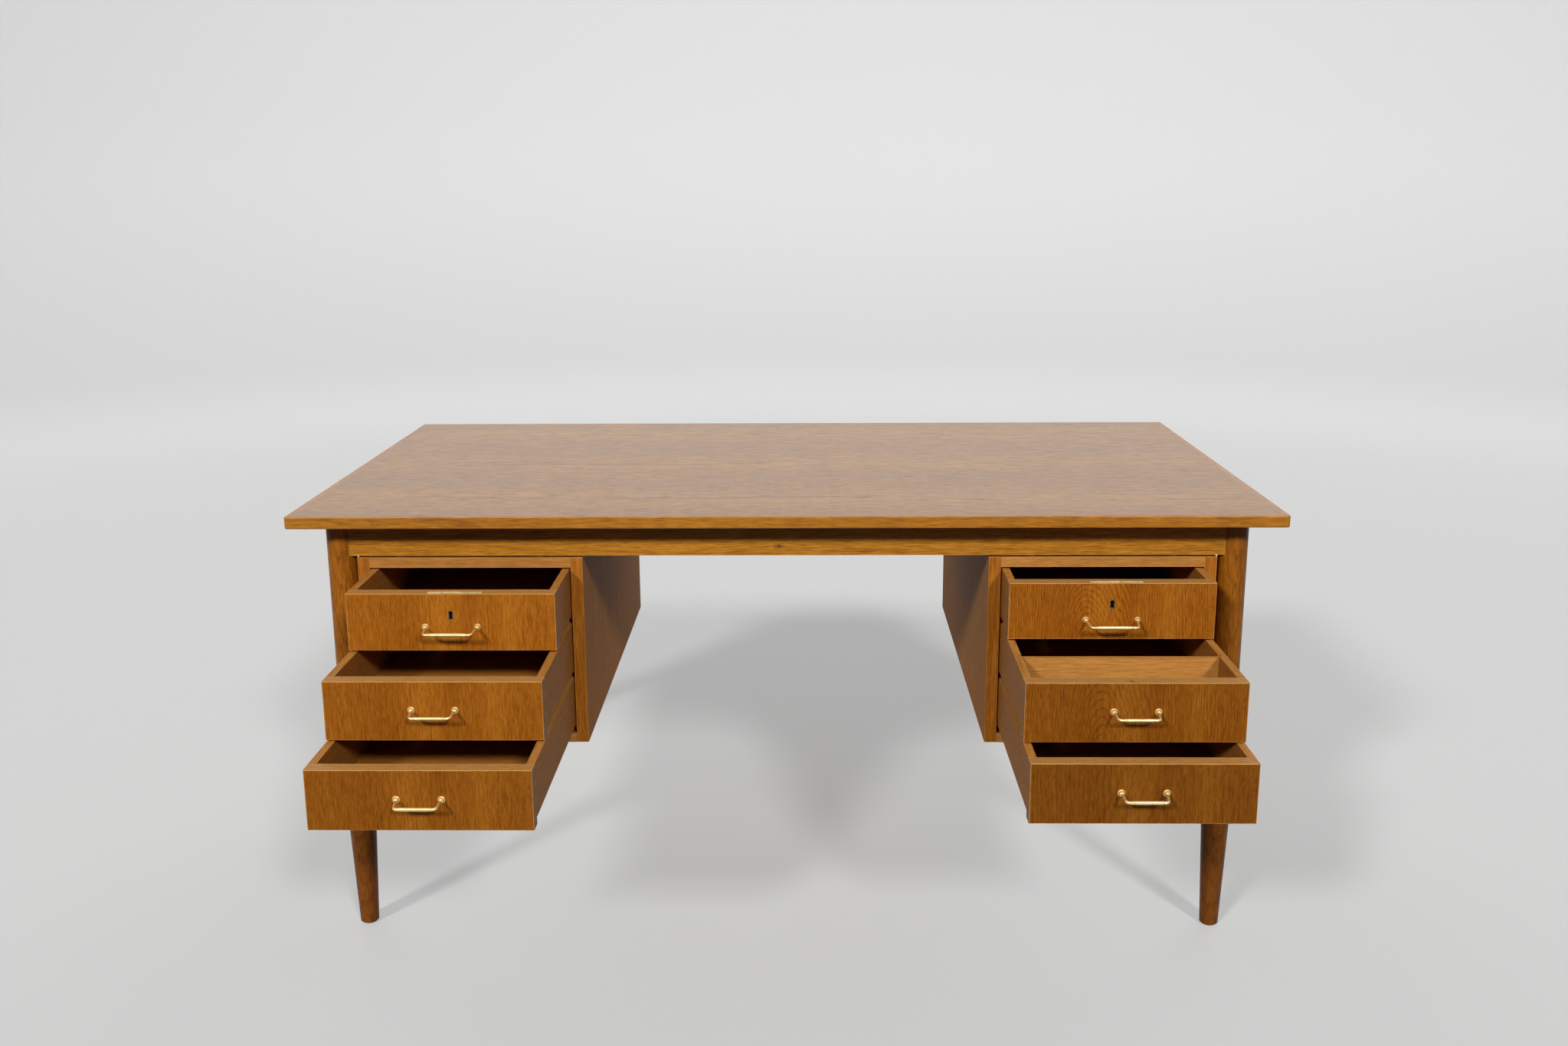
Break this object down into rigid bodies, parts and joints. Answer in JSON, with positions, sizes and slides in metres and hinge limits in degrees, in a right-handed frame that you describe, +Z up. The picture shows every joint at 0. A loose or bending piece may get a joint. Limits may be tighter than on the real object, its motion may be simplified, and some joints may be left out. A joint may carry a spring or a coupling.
{
  "type": "writing desk with drawer pedestals",
  "caption": "Oak writing desk on round tapered legs, with drawer pedestals hung under the top, brass bow handles, locks on the top drawers and book niches at the back.",
  "frame": {"origin": "on the floor under the middle of the box round the whole desk as stored, with its drawers standing open; the middle of the top lies 0.1835 m behind it", "axes": "+X to the sitter's right along the desk, +Y away from the sitter, +Z up"},
  "size_m": [1.6, 1.267, 0.74],
  "materials": {
    "oak_top": "satin lacquered oak veneer, grain along the length",
    "oak_solid": "satin lacquered solid oak",
    "oak_leg": "satin lacquered solid oak, turned",
    "oak_panel": "satin lacquered oak veneer, upright grain",
    "oak_front": "satin lacquered oak veneer, upright grain",
    "oak_inside": "thinly lacquered plain oak",
    "brass": "polished brass",
    "steel": "bright steel screws"
  },
  "bodies": {
    "desk": {"top_panel": "oak_top", "top_lipping": "oak_solid", "front_left_leg": "oak_leg", "front_right_leg": "oak_leg", "back_left_leg": "oak_leg", "back_right_leg": "oak_leg", "front_apron": "oak_solid", "back_apron": "oak_solid", "left_apron": "oak_solid", "right_apron": "oak_solid", "hanger_spacers": "oak_solid", "frame_screws": "steel", "left_pedestal_outer_side": "oak_panel", "left_pedestal_inner_side": "oak_panel", "left_pedestal_top": "oak_panel", "left_pedestal_bottom": "oak_panel", "left_pedestal_well_back": "oak_panel", "right_pedestal_outer_side": "oak_panel", "right_pedestal_inner_side": "oak_panel", "right_pedestal_top": "oak_panel", "right_pedestal_bottom": "oak_panel", "right_pedestal_well_back": "oak_panel", "drawer_runners": "oak_inside"},
    "top_left_drawer": {"top_left_drawer_front": "oak_front", "top_left_drawer_sides": "oak_inside", "top_left_drawer_back": "oak_inside", "top_left_drawer_bottom": "oak_inside", "top_left_handle": "brass", "top_left_lock_case": "brass", "top_left_keyhole_liner": "brass"},
    "middle_left_drawer": {"middle_left_drawer_front": "oak_front", "middle_left_drawer_sides": "oak_inside", "middle_left_drawer_back": "oak_inside", "middle_left_drawer_bottom": "oak_inside", "middle_left_handle": "brass"},
    "bottom_left_drawer": {"bottom_left_drawer_front": "oak_front", "bottom_left_drawer_sides": "oak_inside", "bottom_left_drawer_back": "oak_inside", "bottom_left_drawer_bottom": "oak_inside", "bottom_left_handle": "brass"},
    "top_right_drawer": {"top_right_drawer_front": "oak_front", "top_right_drawer_sides": "oak_inside", "top_right_drawer_back": "oak_inside", "top_right_drawer_bottom": "oak_inside", "top_right_handle": "brass", "top_right_lock_case": "brass", "top_right_keyhole_liner": "brass"},
    "middle_right_drawer": {"middle_right_drawer_front": "oak_front", "middle_right_drawer_sides": "oak_inside", "middle_right_drawer_back": "oak_inside", "middle_right_drawer_bottom": "oak_inside", "middle_right_handle": "brass", "middle_right_drawer_divider": "oak_inside"},
    "bottom_right_drawer": {"bottom_right_drawer_front": "oak_front", "bottom_right_drawer_sides": "oak_inside", "bottom_right_drawer_back": "oak_inside", "bottom_right_drawer_bottom": "oak_inside", "bottom_right_handle": "brass"},
    "top_left_lock_bolt": {"top_left_lock_bolt": "brass"},
    "top_right_lock_bolt": {"top_right_lock_bolt": "brass"}
  },
  "joints": [
    {"name": "top_left_drawer_slide", "type": "slide", "parent": "desk", "child": "top_left_drawer", "axis": [0, -1, 0], "range_m": [-0.145, 0.285]},
    {"name": "middle_left_drawer_slide", "type": "slide", "parent": "desk", "child": "middle_left_drawer", "axis": [0, -1, 0], "range_m": [-0.282, 0.148]},
    {"name": "bottom_left_drawer_slide", "type": "slide", "parent": "desk", "child": "bottom_left_drawer", "axis": [0, -1, 0], "range_m": [-0.388, 0.042]},
    {"name": "top_right_drawer_slide", "type": "slide", "parent": "desk", "child": "top_right_drawer", "axis": [0, -1, 0], "range_m": [-0.088, 0.342]},
    {"name": "middle_right_drawer_slide", "type": "slide", "parent": "desk", "child": "middle_right_drawer", "axis": [0, -1, 0], "range_m": [-0.288, 0.142]},
    {"name": "bottom_right_drawer_slide", "type": "slide", "parent": "desk", "child": "bottom_right_drawer", "axis": [0, -1, 0], "range_m": [-0.362, 0.068]},
    {"name": "top_left_lock_bolt_slide", "type": "slide", "parent": "top_left_drawer", "child": "top_left_lock_bolt", "axis": [0, 0, 1], "range_m": [0, 0.008]},
    {"name": "top_right_lock_bolt_slide", "type": "slide", "parent": "top_right_drawer", "child": "top_right_lock_bolt", "axis": [0, 0, 1], "range_m": [0, 0.008]}
  ]
}
